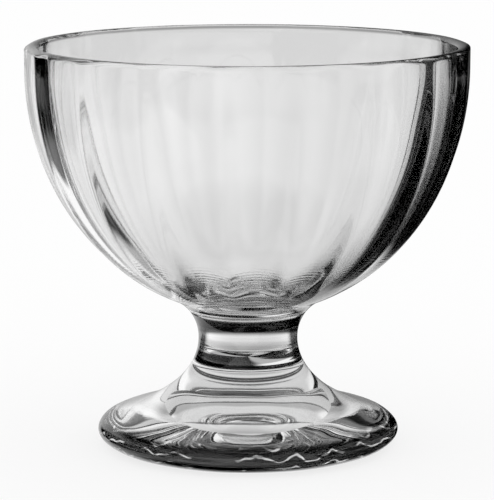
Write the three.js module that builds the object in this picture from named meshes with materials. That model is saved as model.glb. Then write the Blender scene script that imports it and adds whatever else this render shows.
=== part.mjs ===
// Footed dessert glass: a fluted bowl on a short waisted stem and a thick flared foot.
// Millimetres, +Z up. The glass stands on z = 0 with its axis on Z, and a flute faces -Y.

import * as THREE from 'three';
import { mergeVertices } from 'three/addons/utils/BufferGeometryUtils.js';

// Bowl
const RIM_RADIUS = 52;
const RIM_WALL = 3.4;
const LIP_HEIGHT = 1.2;
const UPRIGHT_WALL = 6.1; // straight stretch under the rim, before the wall curves in
const BOWL_DROP = 57.3; // half height of the ellipse that the outside follows
const FLOOR_THICKNESS = 3.4; // glass between the inside and the seam with the stem

// Flutes on the bowl's outside
const FLUTE_COUNT = 18;
const FLUTE_DEPTH = 1; // at the rim's radius, less where the bowl narrows
const FLUTE_RUN_OUT = 9; // height over which a flute fades above the neck

// Stem
const WAIST_RADIUS = 11.7;
const NECK_FILLET = 10.4; // round between the waist and the bowl
const WAIST_TO_BOWL = 6.4; // from the waist up to the seam with the bowl
const WAIST_TO_FOOT = 5.5; // from the waist down to the seam with the foot

// Foot
const FOOT_HEIGHT = 20.1; // from the table to the seam with the stem
const FOOT_RADIUS = 35.6;
const EDGE_HALF_HEIGHT = 3.8; // height of the widest point of the rounded edge
const EDGE_ROUND = 7; // how far the rounding reaches in from the widest point
const EDGE_JOIN = THREE.MathUtils.degToRad(65); // where the flare meets the rounded edge
const FLARE_PULL_TOP = 9.6; // how long the flare stays upright below the waist
const FLARE_PULL_EDGE = 9.3; // how long it stays flat above the edge
const HOLLOW_RADIUS = 16; // shallow hollow underneath, inside the flat ring that stands on the table
const HOLLOW_HEIGHT = 3.4;

// Seams
const SEAM_BEVEL = 0.3; // small bevel on both sides of each seam

// Mesh fineness
const STEPS_PER_FLUTE = 6;
const LIP_HALF_STEPS = 3; // on each half of the lip's rounding
const ROUND_STEPS = 72;

const waistZ = FOOT_HEIGHT + WAIST_TO_FOOT;
const bowlSeamZ = waistZ + WAIST_TO_BOWL;

// Ellipse of the bowl's outside, set so that the neck fillet touches it.
function neckTouch() {
  let low = 0;
  let high = Math.PI / 2;
  for (let i = 0; i < 60; i++) {
    const middle = (low + high) / 2;
    if (filletCentre(middle).x > WAIST_RADIUS + NECK_FILLET) {
      low = middle;
    } else {
      high = middle;
    }
  }
  return low;
}

// Centre of a fillet that touches the outer ellipse at an angle below its widest level.
function filletCentre(angle) {
  const normal = new THREE.Vector2(Math.cos(angle) / RIM_RADIUS, -Math.sin(angle) / BOWL_DROP).normalize();
  const onEllipse = new THREE.Vector2(RIM_RADIUS * Math.cos(angle), -BOWL_DROP * Math.sin(angle));
  return onEllipse.addScaledVector(normal, NECK_FILLET);
}

const touchAngle = neckTouch();
const wideZ = waistZ - filletCentre(touchAngle).y;
const rimZ = wideZ + UPRIGHT_WALL;
const touchZ = wideZ - BOWL_DROP * Math.sin(touchAngle);

// Radius of the neck fillet at a height at or above the waist.
function neckRadius(z) {
  const rise = z - waistZ;
  return WAIST_RADIUS + NECK_FILLET - Math.sqrt(NECK_FILLET ** 2 - rise ** 2);
}

// Points from a parametric curve, both ends included.
function sample(steps, curve) {
  return Array.from({ length: steps + 1 }, (_, i) => curve(i / steps));
}

// Flare from the waist down to the rounded edge of the foot.
const edgeCentre = new THREE.Vector2(FOOT_RADIUS - EDGE_ROUND, EDGE_HALF_HEIGHT);

function edgePoint(angle) {
  const offset = new THREE.Vector2(EDGE_ROUND * Math.cos(angle), EDGE_HALF_HEIGHT * Math.sin(angle));
  return offset.add(edgeCentre);
}

const edgeSlope = new THREE.Vector2(
  -EDGE_ROUND * Math.sin(EDGE_JOIN),
  EDGE_HALF_HEIGHT * Math.cos(EDGE_JOIN),
).normalize();
const flare = new THREE.CubicBezierCurve(
  new THREE.Vector2(WAIST_RADIUS, waistZ),
  new THREE.Vector2(WAIST_RADIUS, waistZ - FLARE_PULL_TOP),
  edgePoint(EDGE_JOIN).addScaledVector(edgeSlope, FLARE_PULL_EDGE),
  edgePoint(EDGE_JOIN),
);

// Share of the flare, from its top, at which it comes down to a height.
function flareShare(z) {
  let low = 0;
  let high = 1;
  for (let i = 0; i < 60; i++) {
    const middle = (low + high) / 2;
    if (flare.getPoint(middle).y > z) {
      low = middle;
    } else {
      high = middle;
    }
  }
  return low;
}

// Outline of the foot, from the middle of its top face round to the roof of its hollow.
function footOutline() {
  const seamRadius = flare.getPoint(flareShare(FOOT_HEIGHT)).x;
  const start = flareShare(FOOT_HEIGHT - SEAM_BEVEL);
  const hollow = new THREE.CubicBezierCurve(
    new THREE.Vector2(HOLLOW_RADIUS, 0),
    new THREE.Vector2(HOLLOW_RADIUS * 0.8, HOLLOW_HEIGHT * 0.5),
    new THREE.Vector2(HOLLOW_RADIUS * 0.5, HOLLOW_HEIGHT),
    new THREE.Vector2(0, HOLLOW_HEIGHT),
  );
  return [
    new THREE.Vector2(0, FOOT_HEIGHT),
    new THREE.Vector2(seamRadius - SEAM_BEVEL, FOOT_HEIGHT),
    ...sample(9, (t) => flare.getPoint(start + (1 - start) * t)),
    ...sample(7, (t) => edgePoint(EDGE_JOIN - (EDGE_JOIN + Math.PI / 2) * t)).slice(1),
    ...sample(9, (t) => hollow.getPoint(t)),
  ];
}

// Outline of the stem, from the middle of its top face to the middle of its bottom face.
function stemOutline() {
  const upper = (t) => {
    const z = THREE.MathUtils.lerp(bowlSeamZ - SEAM_BEVEL, waistZ, t);
    return new THREE.Vector2(neckRadius(z), z);
  };
  const end = flareShare(FOOT_HEIGHT + SEAM_BEVEL);
  const seamRadius = flare.getPoint(flareShare(FOOT_HEIGHT)).x;
  return [
    new THREE.Vector2(0, bowlSeamZ),
    new THREE.Vector2(neckRadius(bowlSeamZ) - SEAM_BEVEL, bowlSeamZ),
    ...sample(5, upper),
    ...sample(4, (t) => flare.getPoint(end * t)).slice(1),
    new THREE.Vector2(seamRadius - SEAM_BEVEL, FOOT_HEIGHT),
    new THREE.Vector2(0, FOOT_HEIGHT),
  ];
}

// Outline of the bowl's inside with its lip, from the floor up to the start of the outer wall.
function bowlInside() {
  const radius = RIM_RADIUS - RIM_WALL;
  const floorZ = bowlSeamZ + FLOOR_THICKNESS;
  const depth = wideZ - floorZ;
  const lipZ = rimZ - LIP_HEIGHT;
  const wall = (t) => {
    const angle = (1 - t) * Math.PI / 2;
    return new THREE.Vector2(radius * Math.cos(angle), wideZ - depth * Math.sin(angle));
  };
  const lip = (t) => {
    const angle = (1 - t) * Math.PI;
    const across = RIM_RADIUS - RIM_WALL / 2 + (RIM_WALL / 2) * Math.cos(angle);
    return new THREE.Vector2(across, lipZ + LIP_HEIGHT * Math.sin(angle));
  };
  const inside = sample(11, wall);
  inside[0].x = 0;
  return [...inside, ...sample(2 * LIP_HALF_STEPS, lip)];
}

// Outline of the bowl's outside, from under the lip down to the middle of the seam with the stem.
function bowlOutside() {
  const wall = (t) => {
    const angle = touchAngle * t;
    return new THREE.Vector2(RIM_RADIUS * Math.cos(angle), wideZ - BOWL_DROP * Math.sin(angle));
  };
  const neck = (t) => {
    const z = THREE.MathUtils.lerp(touchZ, bowlSeamZ + SEAM_BEVEL, t);
    return new THREE.Vector2(neckRadius(z), z);
  };
  return [
    ...sample(13, wall),
    ...sample(3, neck).slice(1),
    new THREE.Vector2(neckRadius(bowlSeamZ) - SEAM_BEVEL, bowlSeamZ),
    new THREE.Vector2(0, bowlSeamZ),
  ];
}

// Depth of the flutes at a point of the bowl's outside. They fade over the lip's outer half.
function fluteDepth(turn, radius, z) {
  const onLip = THREE.MathUtils.smoothstep(radius, RIM_RADIUS - RIM_WALL / 2, RIM_RADIUS);
  const runIn = z > rimZ - LIP_HEIGHT ? onLip : 1;
  const runOut = THREE.MathUtils.smoothstep(z, touchZ, touchZ + FLUTE_RUN_OUT);
  const flutes = turn * FLUTE_COUNT / (2 * Math.PI);
  const across = 2 * (flutes - Math.round(flutes));
  return FLUTE_DEPTH * (radius / RIM_RADIUS) * runIn * runOut * (1 - across ** 2);
}

// Solid of revolution about Z from an outline that starts and ends on the axis and comes down its outside.
function turned(outline, steps) {
  const shape = new THREE.LatheGeometry(outline.toReversed(), steps);
  shape.deleteAttribute('normal');
  shape.deleteAttribute('uv');
  shape.rotateX(Math.PI / 2);
  return shape;
}

function closed(shape) {
  const solid = mergeVertices(shape, 1e-4);
  solid.computeVertexNormals();
  return solid;
}

// Bowl: turned, then its outside drawn in along the flutes.
function bowlGeometry() {
  const outside = bowlOutside();
  const outline = [...bowlInside(), ...outside];
  const shape = turned(outline, FLUTE_COUNT * STEPS_PER_FLUTE);
  const place = shape.getAttribute('position');
  for (let i = 0; i < place.count; i++) {
    if (i % outline.length >= outside.length + LIP_HALF_STEPS) continue;
    const x = place.getX(i);
    const y = place.getY(i);
    const radius = Math.hypot(x, y);
    if (radius === 0) continue;
    const share = 1 - fluteDepth(Math.atan2(x, -y), radius, place.getZ(i)) / radius;
    place.setXY(i, x * share, y * share);
  }
  return closed(shape);
}

function piece(name, geometry) {
  const glass = new THREE.MeshStandardMaterial({ color: 0xeef2f2, roughness: 0.03, metalness: 0 });
  const mesh = new THREE.Mesh(geometry, glass);
  mesh.name = name;
  return mesh;
}

const group = new THREE.Group();
group.name = 'dessert_glass';
group.add(piece('bowl', bowlGeometry()));
group.add(piece('stem', closed(turned(stemOutline(), ROUND_STEPS))));
group.add(piece('foot', closed(turned(footOutline(), ROUND_STEPS))));

export default group;
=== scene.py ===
"""Looks of the footed dessert glass: fine glass meshes, a plain studio and the camera."""

import math

import bpy
import numpy as np
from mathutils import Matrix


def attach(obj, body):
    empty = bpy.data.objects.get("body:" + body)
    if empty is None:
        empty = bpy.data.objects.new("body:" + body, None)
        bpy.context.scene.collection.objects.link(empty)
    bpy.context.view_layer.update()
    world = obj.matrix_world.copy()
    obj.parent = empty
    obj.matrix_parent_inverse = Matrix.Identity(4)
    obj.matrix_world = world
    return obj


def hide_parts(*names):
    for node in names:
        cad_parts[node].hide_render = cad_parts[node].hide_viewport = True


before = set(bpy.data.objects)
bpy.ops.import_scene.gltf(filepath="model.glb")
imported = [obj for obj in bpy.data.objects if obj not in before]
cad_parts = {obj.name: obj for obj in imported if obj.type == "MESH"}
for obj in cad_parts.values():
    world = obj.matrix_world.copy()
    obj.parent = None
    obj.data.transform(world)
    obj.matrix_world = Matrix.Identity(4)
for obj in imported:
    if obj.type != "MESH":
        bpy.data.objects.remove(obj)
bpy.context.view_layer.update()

MM = 0.001
WHITE = (1, 1, 1, 1)
HALVINGS = 60
WHOLE_WAVE = (-1.0, 1.0)

# Sizes of the glass in millimetres, as in the solids
RIM_RADIUS = 52.0
RIM_WALL = 3.4
LIP_HEIGHT = 1.2
UPRIGHT_WALL = 6.1
BOWL_DROP = 57.3
FLOOR_THICKNESS = 3.4
FLUTE_COUNT = 18
FLUTE_DEPTH = 1.0
FLUTE_RUN_OUT = 9.0
WAIST_RADIUS = 11.7
NECK_FILLET = 10.4
WAIST_TO_BOWL = 6.4
WAIST_TO_FOOT = 5.5
FOOT_HEIGHT = 20.1
FOOT_RADIUS = 35.6
EDGE_HALF_HEIGHT = 3.8
EDGE_ROUND = 7.0
EDGE_JOIN = math.radians(65)
FLARE_PULL_TOP = 9.6
FLARE_PULL_EDGE = 9.3
HOLLOW_RADIUS = 16.0
HOLLOW_HEIGHT = 3.4
HOLLOW_WALL = (0.8, 0.5)  # shares of the hollow's radius and height that steer its wall
HOLLOW_ROOF = 0.5  # share of its radius that steers its roof
SEAM_BEVEL = 0.3

# Finer shape of the flutes
RIDGE_ROUND = 0.2  # share of half a flute that is rounded off at a ridge
LIP_FLUTE = 0.6  # share of the depth that is left at the lip
FLUTE_RUN_IN = 14.0  # height below the lip, in millimetres, over which a flute deepens

# Chill ripples low on the bowl's outside, with lengths in millimetres
RIPPLE_HEIGHT = 0.035
RIPPLE_PITCH = 1.05
RIPPLE_ARCH = 1.8
RIPPLE_MIDDLE_Z = 46.0
RIPPLE_REACH = 3.0
RIPPLE_FOLLOW = 0.6  # share of the arch that the band of ripples follows
PATCH_LEVEL = 0.55  # usual strength of the ripples
PATCH_SWING = 0.45  # change of strength from patch to patch
PATCH_COUNTS = (3, 7)  # waves of strength round the bowl
PATCH_SHIFT = 0.7

# Unevenness of the foot
WOBBLE = 0.08  # in millimetres
WOBBLE_COUNTS = (7, 3, 11)  # waves round the foot
WOBBLE_SLANTS = (0.5, 0.3, 0.4)  # how far each wave leans, in radians for a millimetre
WOBBLE_FINE = 0.5  # strength of the third wave
WOBBLE_RUN_IN = (1.0, 8.0)  # distance from the seam, in millimetres, over which it begins

# Mesh fineness
STEPS_PER_FLUTE = 14
ROUND_STEPS = 180
LIP_STEPS = 20
INSIDE_STEPS = 60
UPRIGHT_STEPS = 14
UPPER_STEPS = 46
LOWER_STEPS = 110
CLOSER_FROM = 0.6  # share of the outer wall's angle, from the top, where closer rows for the ripples start
NECK_STEPS = 14
STEM_STEPS = 28
FLARE_STEPS = 48
EDGE_STEPS = 40
HOLLOW_STEPS = 48

# Surface of the glass
GLASS_IOR = 1.5
WAVE_SCALE = 55.0
WAVE_STRENGTH = 0.12
WAVE_HEIGHT = 0.0004
HAZE_SCALE = 180.0
HAZE_SPAN = (0.35, 0.75)
HAZE_ROUGHNESS = 0.02

# Colours of the glass, 1 being clear: its own clear colour, then painted shade and painted light
CLEAR_TINT = 0.98
# painted light: the outline on the lit side is kept nearly clear
LIT_SIDE_PAINTED_EDGE = 0.9
# painted shade at the outline on the dim side, and all round the stem
EDGE_PAINTED_SHADE = 0.02
# painted shade under the foot's rounded edge
PAINTED_RIM_SHADE = 0.004
# painted shade in rings round the two seams
PAINTED_RING_SHADE = 0.002

# Where a piece's painted shade begins and ends towards its outline, 0 facing the eye and 1 edge on
BOWL_TURN_AWAY = (0.48, 0.74)
STEM_TURN_AWAY = (0.40, 0.54)
FOOT_TURN_AWAY = (0.80, 0.93)

# Places of the painted shade and painted light, in millimetres
# painted light and shade: the outline is painted light on the left and dark on the right
DIM_SIDE = (-18.0, 20.0)  # across the glass, from the lit side to the dim one
# painted light from the table on the dim side's outline
TABLE_LIT_SIDE = (12.0, 24.0)  # part of the dim side that the table lights from below
TABLE_LIT_TOP = (42.0, 52.0)
# painted shade under the foot's rounded edge: its radius and top
RIM_SHADE_RADIUS = (29.0, 30.5)
RIM_SHADE_TOP = (6.2, 7.8)
# painted shade in rings round the two seams: height and reach of each
SHADE_RINGS = ((30.2, 1.5), (20.6, 0.5))  # height and reach
RING_CORE = 0.75  # share of the reach that is fully dark

# Painted light lines along the foot's edge, left out of its painted shade
SCALLOPS = 24
SCALLOP_DEPTH = 0.9  # in millimetres
LINE_SWAY = 4.5  # in millimetres
LINE_PITCH = 2.4  # in millimetres
LINE_WIDTH = (0.78, 0.96)  # height on its wave at which a line begins and is full
LINE_SWAY_SCALE = 150.0  # scale of the noise that sways the lines
LINE_PATCH_SCALE = 70.0  # scale of the noise that breaks them up into patches
LINE_PATCHES = (0.44, 0.58)
PAINTED_LINE_LIGHT = 0.9

# Brightness of the studio as the glass shows it, 1 being white
PALE = 0.86  # backdrops
SLOPE = 0.1  # how far a backdrop grows lighter or darker towards its sides
PANEL = 0.05
FLOOR = 0.74
FLOOR_SHADE = 0.36  # dimmer stretch of the floor
SWAY = 0.3  # added to the floor between the backdrops
OVERHEAD = 0.05  # share that is left overhead
SHEEN = 1.0
LOW_BOX = 1.0
HIGH_BOX = 1.0
MIDDLE = 0.45  # share that is left in the dimmer part of a soft box
WALL = 0.7
ROOF = 0.06
BELOW = 0.65
DEEP = 0.2  # share that is left after many reflections
DARK = 0.0

# Directions in the studio: angles, or parts of a unit vector to the right and up
SIDES = 3
PANEL_TURN = math.radians(31.5)
PANEL_EDGE = (0.992, 0.9975)  # cosine of the angle from the panel's middle
FLOOR_NEAR = (-0.75, -0.55)
FLOOR_FAR = (-0.45, -0.12)
HORIZON = (-0.06, 0.16)
DARK_SIDE = math.radians(38)
LEFT_EDGE = (-0.85, -0.4)  # on a wave that comes round once for each side
SHEEN_RIGHT = (-0.36, 0.3)
SHEEN_LEFT = (-0.45, -0.3)
SHEEN_WIDENING = 0.8
SHEEN_TOP = (0.4, 0.6)
SHEEN_FOOT = (-0.85, -0.65)
TABLE_EDGE = (-0.36, -0.28)
TABLE_RIGHT = (0.26, 0.38)
LOW_BOX_TOP = -0.36
LOW_BOX_SWING = 0.2
LOW_BOX_BLUR = (-0.03, 0.03)
LOW_BOX_DIM = (-0.66, -0.54)
HIGH_BOX_FOOT = (-0.06, 0.12)  # on the right and on the left
HIGH_BOX_BLUR = (-0.04, 0.04)
HIGH_BOX_DIM = (0.5, 0.9)
WALL_FOOT = (0.24, 0.4)
ROOF_EDGE = (0.82, 0.89)
BELOW_EDGE = (-0.6, -0.5)
DEEP_RIGHT = (0.15, 0.55)

# A ray's way through the glass, in passes through its surface or in reflections
MORE_THAN_NONE = 0.5
MORE_THAN_ONE = 1.5
MORE_THAN_TWO = 2.5
DEEP_COUNT = (2.5, 4.5)
LIGHT_BOUNCES = 32

# Floor under the glass, with lengths in metres
FLOOR_RADIUS = 3.0
FLOOR_STEPS = 96
FLOOR_DROP = 0.0001
FLOOR_COLOUR = 0.95
FLOOR_WHITE = 0.8  # share of plain white in what the camera sees of the floor

# Camera, in metres and radians, with its lens and sensor in millimetres
CAMERA_TURN = math.radians(-3.0)
CAMERA_DISTANCE = 0.630
CAMERA_HEIGHT = 0.1561
CAMERA_PITCH = 0.1726
CAMERA_PAN = math.radians(0.021)
CAMERA_LENS = 195.4
CAMERA_SENSOR = 36.0

WAIST_Z = FOOT_HEIGHT + WAIST_TO_FOOT
BOWL_SEAM_Z = WAIST_Z + WAIST_TO_BOWL


def smooth(x, low, high):
    """Smooth step from 0 at low to 1 at high."""
    t = np.clip((x - low) / (high - low), 0.0, 1.0)
    return t * t * (3.0 - 2.0 * t)


def halving(low, high, is_low):
    """The value between low and high where is_low turns false."""
    for _ in range(HALVINGS):
        middle = (low + high) / 2
        if is_low(middle):
            low = middle
        else:
            high = middle
    return low


def bezier(points, t):
    """Points of a cubic curve at the shares t."""
    t = np.asarray(t)[:, None]
    a, b, c, d = np.asarray(points, dtype=float)
    return (1 - t) ** 3 * a + 3 * (1 - t) ** 2 * t * b + 3 * (1 - t) * t ** 2 * c + t ** 3 * d


def fillet_centre(angle):
    """Centre, from the middle of the bowl's outer ellipse, of a neck fillet that touches it at an angle."""
    normal = np.array([math.cos(angle) / RIM_RADIUS, -math.sin(angle) / BOWL_DROP])
    normal /= np.linalg.norm(normal)
    touch = np.array([RIM_RADIUS * math.cos(angle), -BOWL_DROP * math.sin(angle)])
    return touch + NECK_FILLET * normal


TOUCH_ANGLE = halving(0.0, math.pi / 2, lambda a: fillet_centre(a)[0] > WAIST_RADIUS + NECK_FILLET)
WIDE_Z = WAIST_Z - fillet_centre(TOUCH_ANGLE)[1]
RIM_Z = WIDE_Z + UPRIGHT_WALL
LIP_Z = RIM_Z - LIP_HEIGHT
TOUCH_Z = WIDE_Z - BOWL_DROP * math.sin(TOUCH_ANGLE)


def neck(z):
    """Outline points on the neck fillet at the heights z."""
    r = WAIST_RADIUS + NECK_FILLET - np.sqrt(NECK_FILLET ** 2 - (z - WAIST_Z) ** 2)
    return np.stack([r, z], -1)


def edge(angle):
    """Outline points on the foot's rounded edge."""
    r = FOOT_RADIUS - EDGE_ROUND + EDGE_ROUND * np.cos(angle)
    return np.stack([r, EDGE_HALF_HEIGHT * (1 + np.sin(angle))], -1)


def flare_curve():
    """Control points of the flare from the waist to the foot's edge."""
    end = edge(np.array([EDGE_JOIN]))[0]
    slope = np.array([-EDGE_ROUND * math.sin(EDGE_JOIN), EDGE_HALF_HEIGHT * math.cos(EDGE_JOIN)])
    slope /= np.linalg.norm(slope)
    start = np.array([WAIST_RADIUS, WAIST_Z])
    return [start, start - [0, FLARE_PULL_TOP], end + FLARE_PULL_EDGE * slope, end]


FLARE = flare_curve()


def flare_share(z):
    """Share of the flare, from its top, at which it comes down to the height z."""
    return halving(0.0, 1.0, lambda t: bezier(FLARE, [t])[0, 1] > z)


FOOT_SEAM_RADIUS = bezier(FLARE, [flare_share(FOOT_HEIGHT)])[0, 0]
BOWL_SEAM_RADIUS = neck(np.array([BOWL_SEAM_Z]))[0, 0]


def foot_outline():
    """Outline of the foot, from the middle of its top face round to the roof of its hollow."""
    start = flare_share(FOOT_HEIGHT - SEAM_BEVEL)
    wall_in, wall_up = HOLLOW_WALL
    hollow = [
        [HOLLOW_RADIUS, 0],
        [HOLLOW_RADIUS * wall_in, HOLLOW_HEIGHT * wall_up],
        [HOLLOW_RADIUS * HOLLOW_ROOF, HOLLOW_HEIGHT],
        [0, HOLLOW_HEIGHT],
    ]
    return np.concatenate([
        [[0, FOOT_HEIGHT], [FOOT_SEAM_RADIUS - SEAM_BEVEL, FOOT_HEIGHT]],
        bezier(FLARE, np.linspace(start, 1, FLARE_STEPS)),
        edge(np.linspace(EDGE_JOIN, -math.pi / 2, EDGE_STEPS))[1:],
        bezier(hollow, np.linspace(0, 1, HOLLOW_STEPS)),
    ])


def stem_outline():
    """Outline of the stem, from the middle of its top face to the middle of its bottom face."""
    end = flare_share(FOOT_HEIGHT + SEAM_BEVEL)
    return np.concatenate([
        [[0, BOWL_SEAM_Z], [BOWL_SEAM_RADIUS - SEAM_BEVEL, BOWL_SEAM_Z]],
        neck(np.linspace(BOWL_SEAM_Z - SEAM_BEVEL, WAIST_Z, STEM_STEPS)),
        bezier(FLARE, np.linspace(0, end, STEM_STEPS))[1:],
        [[FOOT_SEAM_RADIUS - SEAM_BEVEL, FOOT_HEIGHT], [0, FOOT_HEIGHT]],
    ])


def bowl_inside():
    """Outline of the bowl's inside with its lip, from the floor up to the start of the outer wall."""
    radius = RIM_RADIUS - RIM_WALL
    depth = WIDE_Z - BOWL_SEAM_Z - FLOOR_THICKNESS
    angle = np.linspace(math.pi / 2, 0, INSIDE_STEPS)
    wall = np.stack([radius * np.cos(angle), WIDE_Z - depth * np.sin(angle)], -1)
    wall[0, 0] = 0
    turn = np.linspace(math.pi, 0, LIP_STEPS)
    across = RIM_RADIUS - RIM_WALL / 2 + RIM_WALL / 2 * np.cos(turn)
    lip = np.stack([across, LIP_Z + LIP_HEIGHT * np.sin(turn)], -1)
    return np.concatenate([wall, lip])


def bowl_outside():
    """Outline of the bowl's outside, from under the lip down to the middle of the seam with the stem."""
    upright = np.linspace(LIP_Z, WIDE_Z, UPRIGHT_STEPS)[1:-1]
    closer = CLOSER_FROM * TOUCH_ANGLE
    upper = np.linspace(0, closer, UPPER_STEPS)[:-1]
    lower = np.linspace(closer, TOUCH_ANGLE, LOWER_STEPS)
    angle = np.concatenate([upper, lower])
    wall = np.stack([RIM_RADIUS * np.cos(angle), WIDE_Z - BOWL_DROP * np.sin(angle)], -1)
    return np.concatenate([
        np.stack([np.full(len(upright), RIM_RADIUS), upright], -1),
        wall,
        neck(np.linspace(TOUCH_Z, BOWL_SEAM_Z + SEAM_BEVEL, NECK_STEPS))[1:],
        [[BOWL_SEAM_RADIUS - SEAM_BEVEL, BOWL_SEAM_Z], [0, BOWL_SEAM_Z]],
    ])


def across_flute(turn):
    """Place across a flute, from -1 at one ridge over 0 in its middle to 1 at the next."""
    flutes = turn * FLUTE_COUNT / (2 * math.pi)
    return 2 * (flutes - np.round(flutes))


def flute_depth(turn, r, z):
    """How far the bowl's outside is drawn in by its flutes, with round ridges between them."""
    on_lip = LIP_FLUTE * smooth(r, RIM_RADIUS - RIM_WALL / 2, RIM_RADIUS)
    under_lip = LIP_FLUTE + (1 - LIP_FLUTE) * smooth(LIP_Z - z, 0, FLUTE_RUN_IN)
    run_in = np.where(z > LIP_Z, on_lip, under_lip)
    run_out = smooth(z, TOUCH_Z, TOUCH_Z + FLUTE_RUN_OUT)
    from_ridge = 1 - np.abs(across_flute(turn))
    eased = np.where(
        from_ridge < RIDGE_ROUND,
        from_ridge ** 2 / (2 * RIDGE_ROUND),
        from_ridge - RIDGE_ROUND / 2,
    )
    return FLUTE_DEPTH * r / RIM_RADIUS * run_in * run_out * (1 - (1 - eased) ** 2)


def ripples(turn, z, along):
    """Chill ripples: arched lines in each flute where the hot glass first met the mould."""
    arch = RIPPLE_ARCH * (1 - across_flute(turn) ** 2)
    wave = np.cos(2 * math.pi * (along + arch) / RIPPLE_PITCH)
    fade = np.exp(-((z + RIPPLE_FOLLOW * arch - RIPPLE_MIDDLE_Z) / RIPPLE_REACH) ** 2)
    few, many = PATCH_COUNTS
    patch = PATCH_LEVEL + PATCH_SWING * np.sin(few * turn + PATCH_SHIFT) * np.sin(many * turn + along)
    return RIPPLE_HEIGHT * wave * fade * patch


def wobble(turn, r, z):
    """Slight unevenness that pressing and fire-polishing leave on the foot."""
    first, second, third = WOBBLE_COUNTS
    rise, fall, lean = WOBBLE_SLANTS
    broad = np.sin(first * turn + rise * z) * np.sin(second * turn - fall * r)
    fine = WOBBLE_FINE * np.sin(third * turn + lean * r)
    start, full = WOBBLE_RUN_IN
    return WOBBLE * (broad + fine) * smooth(r, FOOT_SEAM_RADIUS + start, FOOT_SEAM_RADIUS + full)


def ring_points(outline, steps, move):
    """Points of a turned piece in metres: its rings, then the two ends on the axis."""
    turn = np.arange(steps) * 2 * math.pi / steps
    rings = outline[1:-1]
    r = np.repeat(rings[:, :1], steps, 1)
    z = np.repeat(rings[:, 1:], steps, 1)
    if move is not None:
        r = r - move(np.repeat(turn[None], len(rings), 0), r, z)
    places = np.stack([r * np.sin(turn), -r * np.cos(turn), z], -1).reshape(-1, 3)
    ends = [[0, 0, outline[0, 1]], [0, 0, outline[-1, 1]]]
    return np.concatenate([places, ends]) * MM


def ring_faces(rings, steps):
    """Faces of a turned piece, with the outline row at which each one starts."""
    pairs = [(a, (a + 1) % steps) for a in range(steps)]
    first_end = rings * steps
    last_end = first_end + 1
    faces = [(first_end, a, b) for a, b in pairs]
    rows = [0] * steps
    for ring in range(rings - 1):
        low = ring * steps
        high = low + steps
        faces += [(low + a, high + a, high + b, low + b) for a, b in pairs]
        rows += [ring + 1] * steps
    base = (rings - 1) * steps
    faces += [(base + a, last_end, base + b) for a, b in pairs]
    rows += [rings] * steps
    return faces, rows


def turned(name, outline, steps, seam_rows, move=None):
    """A closed piece turned about Z. Faces that start at a row in seam_rows take the second material."""
    faces, rows = ring_faces(len(outline) - 2, steps)
    mesh = bpy.data.meshes.new(name)
    mesh.from_pydata(ring_points(outline, steps, move).tolist(), [], faces)
    mesh.polygons.foreach_set("use_smooth", [True] * len(faces))
    mesh.polygons.foreach_set("material_index", [int(row in seam_rows) for row in rows])
    mesh.update()
    piece = bpy.data.objects.new(name, mesh)
    bpy.context.scene.collection.objects.link(piece)
    return piece


def make_bowl():
    """The bowl, smooth inside, with flutes and chill ripples outside."""
    inside = bowl_inside()
    outline = np.concatenate([inside, bowl_outside()])
    lengths = np.linalg.norm(np.diff(outline, axis=0), axis=1)
    along = np.concatenate([[0], np.cumsum(lengths)])[1:-1]
    outer = np.arange(1, len(outline) - 1) >= len(inside) - LIP_STEPS // 2

    def move(turn, r, z):
        drawn = flute_depth(turn, r, z) + ripples(turn, z, np.repeat(along[:, None], r.shape[1], 1))
        return np.where(outer[:, None], drawn, 0.0)

    return turned("clear_bowl", outline, FLUTE_COUNT * STEPS_PER_FLUTE, {len(outline) - 2}, move)


def make_stem():
    """The short waisted stem."""
    outline = stem_outline()
    return turned("clear_stem", outline, ROUND_STEPS, {0, len(outline) - 2})


def make_foot():
    """The flared foot with its hollow."""
    return turned("clear_foot", foot_outline(), ROUND_STEPS, {0}, wobble)


def node_tree(owner):
    """An empty node tree on a material or a world."""
    owner.use_nodes = True
    tree = owner.node_tree
    tree.nodes.clear()
    return tree


def add(tree, kind, **values):
    """A node with input values set by socket name."""
    node = tree.nodes.new(kind)
    for key, value in values.items():
        node.inputs[key.replace("_", " ")].default_value = value
    return node


def join(tree, source, output, target, socket):
    """Links an output of one node to an input of another."""
    tree.links.new(source.outputs[output], target.inputs[socket])


def calc(tree, operation, *inputs):
    """Result of a math node whose inputs are numbers or sockets."""
    node = tree.nodes.new("ShaderNodeMath")
    node.operation = operation
    for socket, value in zip(node.inputs, inputs):
        if isinstance(value, bpy.types.NodeSocket):
            tree.links.new(value, socket)
        else:
            socket.default_value = value
    return node.outputs[0]


def product(tree, *factors):
    """Product of numbers or sockets."""
    result = factors[0]
    for factor in factors[1:]:
        result = calc(tree, "MULTIPLY", result, factor)
    return result


def rest_of(tree, share):
    """What is left of 1 beside a share."""
    return calc(tree, "SUBTRACT", 1.0, share)


def ramp(tree, source, span, start, end):
    """Smooth change from start to end while the source goes from one end of the span to the other."""
    low, high = span
    node = add(tree, "ShaderNodeMapRange", From_Min=low, From_Max=high, To_Min=start, To_Max=end)
    node.interpolation_type = "SMOOTHSTEP"
    tree.links.new(source, node.inputs["Value"])
    return node.outputs["Result"]


def blend(tree, share, start, end):
    """Start where the share is 0 and end where it is 1."""
    kept = calc(tree, "MULTIPLY", rest_of(tree, share), start)
    return calc(tree, "MULTIPLY_ADD", share, end, kept)


def parts_of(tree, place, output):
    """A node that splits a coordinate into X, Y and Z."""
    parts = add(tree, "ShaderNodeSeparateXYZ")
    join(tree, place, output, parts, "Vector")
    return parts


def turn_of(tree, parts):
    """Compass angle of a place or a direction, 0 behind the glass and growing to the right."""
    return calc(tree, "ARCTAN2", parts.outputs["X"], parts.outputs["Y"])


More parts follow.
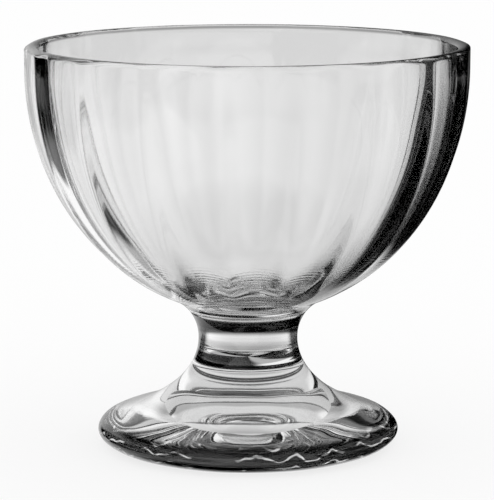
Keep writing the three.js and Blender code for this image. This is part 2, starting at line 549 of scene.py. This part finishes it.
def noise(tree, place, **values):
    """Strength of a noise that stays with the object."""
    node = add(tree, "ShaderNodeTexNoise", **values)
    join(tree, place, "Object", node, "Vector")
    return node.outputs["Fac"]


def metres(span):
    """A span in millimetres, turned into metres."""
    return [MM * end for end in span]


def painted_shade_ring(tree, height, middle, reach):
    """Painted shade in a ring round a height: 1 over most of the glass, falling to its darkest within the
    ring.
    """
    away = calc(tree, "ABSOLUTE", calc(tree, "SUBTRACT", height, middle * MM))
    return ramp(tree, away, metres((RING_CORE * reach, reach)), PAINTED_RING_SHADE, 1.0)


def painted_light_lines(tree, place, parts):
    """Painted light: how light the thin wavy lines along the foot's edge are, and 0 beside them."""
    half_waves = calc(tree, "MULTIPLY", turn_of(tree, parts), SCALLOPS / 2)
    scallop = calc(tree, "ABSOLUTE", calc(tree, "SINE", half_waves))
    uneven = noise(tree, place, Scale=LINE_SWAY_SCALE, Detail=2.0)
    level = calc(tree, "MULTIPLY_ADD", scallop, SCALLOP_DEPTH * MM, parts.outputs["Z"])
    level = calc(tree, "MULTIPLY_ADD", uneven, LINE_SWAY * MM, level)
    wave = calc(tree, "COSINE", calc(tree, "MULTIPLY", level, 2 * math.pi / (LINE_PITCH * MM)))
    broad = noise(tree, place, Scale=LINE_PATCH_SCALE, Detail=3.0, Roughness=0.7)
    return product(
        tree,
        ramp(tree, wave, LINE_WIDTH, 0.0, 1.0),
        ramp(tree, broad, LINE_PATCHES, 0.0, PAINTED_LINE_LIGHT),
    )


def painted_rim_shade_share(tree, place, parts):
    """How dark the painted shade on the lower side of the foot's rounded edge is, with painted light lines
    left out of it.
    """
    squares = [calc(tree, "POWER", parts.outputs[axis], 2.0) for axis in "XY"]
    radius = calc(tree, "SQRT", calc(tree, "ADD", *squares))
    return product(
        tree,
        ramp(tree, radius, metres(RIM_SHADE_RADIUS), 0.0, 1.0),
        ramp(tree, parts.outputs["Z"], metres(RIM_SHADE_TOP), 1.0, 0.0),
        rest_of(tree, painted_light_lines(tree, place, parts)),
    )


def painted_seam_and_rim_shade(tree, place, parts):
    """Painted shade round the two seams and along the foot's edge, on the outer faces alone."""
    tint_with_painted_shade = blend(tree, painted_rim_shade_share(tree, place, parts), 1.0, PAINTED_RIM_SHADE)
    for middle, reach in SHADE_RINGS:
        tint_with_painted_shade = product(tree, tint_with_painted_shade, painted_shade_ring(tree, parts.outputs["Z"], middle, reach))
    face = add(tree, "ShaderNodeNewGeometry")
    return blend(tree, face.outputs["Backfacing"], tint_with_painted_shade, 1.0)


def outline_painted_shade(tree, parts, turn_away, lit_side_painted_edge):
    """Painted shade that darkens the glass towards its outline, most on the right and above the painted
    light from the table.
    """
    facing = add(tree, "ShaderNodeLayerWeight", Blend=0.5)
    edge_on = ramp(tree, facing.outputs["Facing"], turn_away, 0.0, 1.0)
    painted_table_light = product(
        tree,
        ramp(tree, parts.outputs["X"], metres(TABLE_LIT_SIDE), 0.0, 1.0),
        ramp(tree, parts.outputs["Z"], metres(TABLE_LIT_TOP), 1.0, 0.0),
    )
    # painted shade on the dim side, lifted where the table's painted light falls
    dim = product(
        tree,
        ramp(tree, parts.outputs["X"], metres(DIM_SIDE), 0.0, 1.0),
        rest_of(tree, painted_table_light),
    )
    return blend(tree, edge_on, CLEAR_TINT, blend(tree, dim, lit_side_painted_edge, EDGE_PAINTED_SHADE))


def mould_waves(tree, place):
    """Faint waviness that the mould leaves on the surface."""
    bump = add(tree, "ShaderNodeBump", Strength=WAVE_STRENGTH, Distance=WAVE_HEIGHT)
    waves = noise(tree, place, Scale=WAVE_SCALE, Detail=2.0, Roughness=0.4)
    tree.links.new(waves, bump.inputs["Height"])
    return bump.outputs["Normal"]


def haze(tree, place):
    """Slight unevenness of the fire-polish."""
    low, high = HAZE_SPAN
    rough = add(tree, "ShaderNodeMapRange", From_Min=low, From_Max=high, To_Min=0.0, To_Max=HAZE_ROUGHNESS)
    tree.links.new(noise(tree, place, Scale=HAZE_SCALE, Detail=3.0), rough.inputs["Value"])
    return rough.outputs["Result"]


def glass_material(name, turn_away, lit_side_painted_edge):
    """Clear pressed glass, fire-polished, with painted shade towards its outline, at its seams and along
    the foot's edge.
    """
    material = bpy.data.materials.new(name)
    tree = node_tree(material)
    out = add(tree, "ShaderNodeOutputMaterial")
    glass = add(tree, "ShaderNodeBsdfPrincipled", IOR=GLASS_IOR, Transmission_Weight=1.0)
    place = add(tree, "ShaderNodeTexCoord")
    parts = parts_of(tree, place, "Object")
    tint_with_painted_shade = product(tree, outline_painted_shade(tree, parts, turn_away, lit_side_painted_edge), painted_seam_and_rim_shade(tree, place, parts))
    tree.links.new(tint_with_painted_shade, glass.inputs["Base Color"])
    tree.links.new(haze(tree, place), glass.inputs["Roughness"])
    tree.links.new(mould_waves(tree, place), glass.inputs["Normal"])
    join(tree, glass, "BSDF", out, "Surface")
    return material


def seam_material():
    """Fused seam: the glass runs on, so nothing shows across it."""
    material = bpy.data.materials.new("fused_seam")
    tree = node_tree(material)
    out = add(tree, "ShaderNodeOutputMaterial")
    clear = add(tree, "ShaderNodeBsdfTransparent")
    join(tree, clear, "BSDF", out, "Surface")
    return material


def side_wave(tree, turn, operation, shift=0.0):
    """A wave that comes round once for each side of the studio, so that all sides have the same parts."""
    return calc(tree, operation, calc(tree, "MULTIPLY_ADD", turn, SIDES, -SIDES * shift))


def backdrop_level(tree, turn):
    """Pale backdrops, with one narrow dark panel beside the backdrop on its right."""
    backdrop = calc(tree, "MULTIPLY_ADD", side_wave(tree, turn, "SINE"), -SLOPE, PALE)
    from_panel = calc(tree, "COSINE", calc(tree, "SUBTRACT", turn, PANEL_TURN))
    return blend(tree, ramp(tree, from_panel, PANEL_EDGE, 0.0, 1.0), backdrop, PANEL)


def floor_level(tree, height, turn):
    """Pale floor with a dimmer stretch at middle distance, lighter between the backdrops."""
    shade = product(
        tree,
        ramp(tree, height, FLOOR_NEAR, 0.0, 1.0),
        ramp(tree, height, FLOOR_FAR, 1.0, 0.0),
    )
    between = ramp(tree, side_wave(tree, turn, "COSINE"), WHOLE_WAVE, SWAY, 0.0)
    return calc(tree, "ADD", blend(tree, shade, FLOOR, FLOOR_SHADE), between)


def through_level(tree, light, height, turn):
    """Brightness seen straight through the glass: the floor past one wall, a backdrop past more."""
    walls = calc(tree, "GREATER_THAN", light.outputs["Transmission Depth"], MORE_THAN_TWO)
    level = blend(tree, walls, floor_level(tree, height, turn), backdrop_level(tree, turn))
    return product(tree, level, ramp(tree, height, HORIZON, 1.0, OVERHEAD))


def sheen_level(tree, across, height):
    """Brightness that the outside reflects: a waisted soft box on the left and the pale table below."""
    from_waist = calc(tree, "MULTIPLY_ADD", calc(tree, "ABSOLUTE", height), SHEEN_WIDENING, across)
    box = product(
        tree,
        ramp(tree, across, SHEEN_RIGHT, SHEEN, DARK),
        ramp(tree, from_waist, SHEEN_LEFT, DARK, 1.0),
    )
    table = product(
        tree,
        ramp(tree, height, TABLE_EDGE, SHEEN, DARK),
        ramp(tree, across, TABLE_RIGHT, 1.0, DARK),
    )
    return product(
        tree,
        calc(tree, "MAXIMUM", box, table),
        ramp(tree, height, SHEEN_TOP, 1.0, DARK),
        ramp(tree, height, SHEEN_FOOT, DARK, 1.0),
    )


def low_box_level(tree, height, wave):
    """A soft box that stands low, highest in front of a backdrop and dimmer near the ground."""
    top = calc(tree, "MULTIPLY_ADD", wave, LOW_BOX_SWING, LOW_BOX_TOP)
    return product(
        tree,
        ramp(tree, calc(tree, "SUBTRACT", height, top), LOW_BOX_BLUR, LOW_BOX, DARK),
        ramp(tree, height, LOW_BOX_DIM, MIDDLE, 1.0),
    )


def high_box_level(tree, height, wave, left):
    """A soft box that stands high, lower on the right and dimmer in front of a backdrop."""
    on_right, on_left = HIGH_BOX_FOOT
    foot = blend(tree, left, on_right, on_left)
    return product(
        tree,
        ramp(tree, calc(tree, "SUBTRACT", height, foot), HIGH_BOX_BLUR, DARK, HIGH_BOX),
        ramp(tree, wave, HIGH_BOX_DIM, 1.0, MIDDLE),
    )


def boxes_level(tree, height, turn):
    """What shows after one reflection inside the glass: soft boxes, the wall above and the dark roof."""
    left = ramp(tree, side_wave(tree, turn, "COSINE", DARK_SIDE), LEFT_EDGE, 1.0, 0.0)
    wave = side_wave(tree, turn, "COSINE")
    low = product(tree, left, low_box_level(tree, height, wave))
    level = calc(tree, "MAXIMUM", high_box_level(tree, height, wave, left), low)
    level = blend(tree, ramp(tree, height, WALL_FOOT, 0.0, 1.0), level, WALL)
    return blend(tree, ramp(tree, height, ROOF_EDGE, 0.0, 1.0), level, ROOF)


def inner_level(tree, light, across, height, turn):
    """Brightness seen after reflections inside the glass, lighter below after two and dim after many."""
    count = light.outputs["Glossy Depth"]
    again = calc(tree, "GREATER_THAN", count, MORE_THAN_ONE)
    below = product(tree, again, ramp(tree, height, BELOW_EDGE, BELOW, DARK))
    level = calc(tree, "MAXIMUM", boxes_level(tree, height, turn), below)
    many = ramp(tree, count, DEEP_COUNT, 0.0, 1.0)
    kept = blend(tree, many, 1.0, ramp(tree, across, DEEP_RIGHT, DEEP, 1.0))
    return product(tree, level, kept)


def seen_level(tree, light, parts):
    """Brightness of the studio as the glass shows it, by the ray's way through the glass."""
    across = parts.outputs["X"]
    height = parts.outputs["Z"]
    turn = turn_of(tree, parts)
    entered = calc(tree, "GREATER_THAN", light.outputs["Transmission Depth"], MORE_THAN_NONE)
    reflected = calc(tree, "GREATER_THAN", light.outputs["Glossy Depth"], MORE_THAN_NONE)
    outside = sheen_level(tree, across, height)
    inside = inner_level(tree, light, across, height, turn)
    mirrored = blend(tree, entered, outside, inside)
    return blend(tree, reflected, through_level(tree, light, height, turn), mirrored)


def by_ray(tree, light, camera, glass, rest):
    """Mixes three shaders: what the camera sees, what shows in the glass, and what lights the floor."""
    seen = calc(tree, "MAXIMUM", light.outputs["Is Glossy Ray"], light.outputs["Is Transmission Ray"])
    inner = add(tree, "ShaderNodeMixShader")
    tree.links.new(seen, inner.inputs["Fac"])
    tree.links.new(rest.outputs[0], inner.inputs[1])
    tree.links.new(glass.outputs[0], inner.inputs[2])
    outer = add(tree, "ShaderNodeMixShader")
    join(tree, light, "Is Camera Ray", outer, "Fac")
    tree.links.new(inner.outputs[0], outer.inputs[1])
    tree.links.new(camera.outputs[0], outer.inputs[2])
    return outer


def make_world():
    """White for the camera, soft even light for the floor and a plain studio for the glass."""
    world = bpy.data.worlds.new("studio")
    bpy.context.scene.world = world
    tree = node_tree(world)
    out = add(tree, "ShaderNodeOutputWorld")
    light = add(tree, "ShaderNodeLightPath")
    place = add(tree, "ShaderNodeTexCoord")
    white = add(tree, "ShaderNodeBackground", Color=WHITE, Strength=1.0)
    room = add(tree, "ShaderNodeBackground", Color=WHITE)
    fill = add(tree, "ShaderNodeBackground", Color=WHITE, Strength=1.0)
    parts = parts_of(tree, place, "Generated")
    tree.links.new(seen_level(tree, light, parts), room.inputs["Strength"])
    join(tree, by_ray(tree, light, white, room, fill), 0, out, "Surface")


def floor_material():
    """Nearly white to the camera with a soft shadow, and out of the way of what the glass shows."""
    material = bpy.data.materials.new("pale_floor")
    tree = node_tree(material)
    out = add(tree, "ShaderNodeOutputMaterial")
    light = add(tree, "ShaderNodeLightPath")
    lit = add(tree, "ShaderNodeBsdfDiffuse", Color=(FLOOR_COLOUR, FLOOR_COLOUR, FLOOR_COLOUR, 1))
    white = add(tree, "ShaderNodeEmission", Color=WHITE, Strength=1.0)
    kept = add(tree, "ShaderNodeMixShader", Fac=FLOOR_WHITE)
    tree.links.new(lit.outputs[0], kept.inputs[1])
    tree.links.new(white.outputs[0], kept.inputs[2])
    beyond = add(tree, "ShaderNodeBsdfTransparent")
    join(tree, by_ray(tree, light, kept, beyond, lit), 0, out, "Surface")
    return material


def make_floor():
    """A plain pale floor just below the foot."""
    bpy.ops.mesh.primitive_circle_add(
        vertices=FLOOR_STEPS,
        radius=FLOOR_RADIUS,
        fill_type="NGON",
        location=(0, 0, -FLOOR_DROP),
    )
    floor = bpy.context.object
    floor.name = "floor"
    floor.data.materials.append(floor_material())


def make_camera():
    """Camera at the photograph's angle, a little left of the front flute and slightly above the rim."""
    data = bpy.data.cameras.new("camera")
    data.lens = CAMERA_LENS
    data.sensor_width = CAMERA_SENSOR
    camera = bpy.data.objects.new("camera", data)
    camera.location = (
        CAMERA_DISTANCE * math.sin(CAMERA_TURN),
        -CAMERA_DISTANCE * math.cos(CAMERA_TURN),
        CAMERA_HEIGHT,
    )
    camera.rotation_euler = (math.pi / 2 - CAMERA_PITCH, 0, CAMERA_TURN + CAMERA_PAN)
    bpy.context.scene.collection.objects.link(camera)
    bpy.context.scene.camera = camera


def set_up_scene():
    """Plain colours, and enough bounces for light to find its way out of the glass."""
    scene = bpy.context.scene
    scene.view_settings.view_transform = "Standard"
    scene.cycles.max_bounces = LIGHT_BOUNCES
    scene.cycles.glossy_bounces = LIGHT_BOUNCES
    scene.cycles.transmission_bounces = LIGHT_BOUNCES


def dress(piece, node, glass, seam):
    """Gives a piece its glass and puts it in its solid's place."""
    piece.data.materials.append(glass)
    piece.data.materials.append(seam)
    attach(piece, "root")
    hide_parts(node)


set_up_scene()
make_camera()
make_world()
make_floor()
bowl_glass = glass_material("clear_glass", BOWL_TURN_AWAY, LIT_SIDE_PAINTED_EDGE)
stem_glass = glass_material("clear_stem_glass", STEM_TURN_AWAY, EDGE_PAINTED_SHADE)
foot_glass = glass_material("clear_foot_glass", FOOT_TURN_AWAY, LIT_SIDE_PAINTED_EDGE)
seam = seam_material()
dress(make_bowl(), "bowl", bowl_glass, seam)
dress(make_stem(), "stem", stem_glass, seam)
dress(make_foot(), "foot", foot_glass, seam)
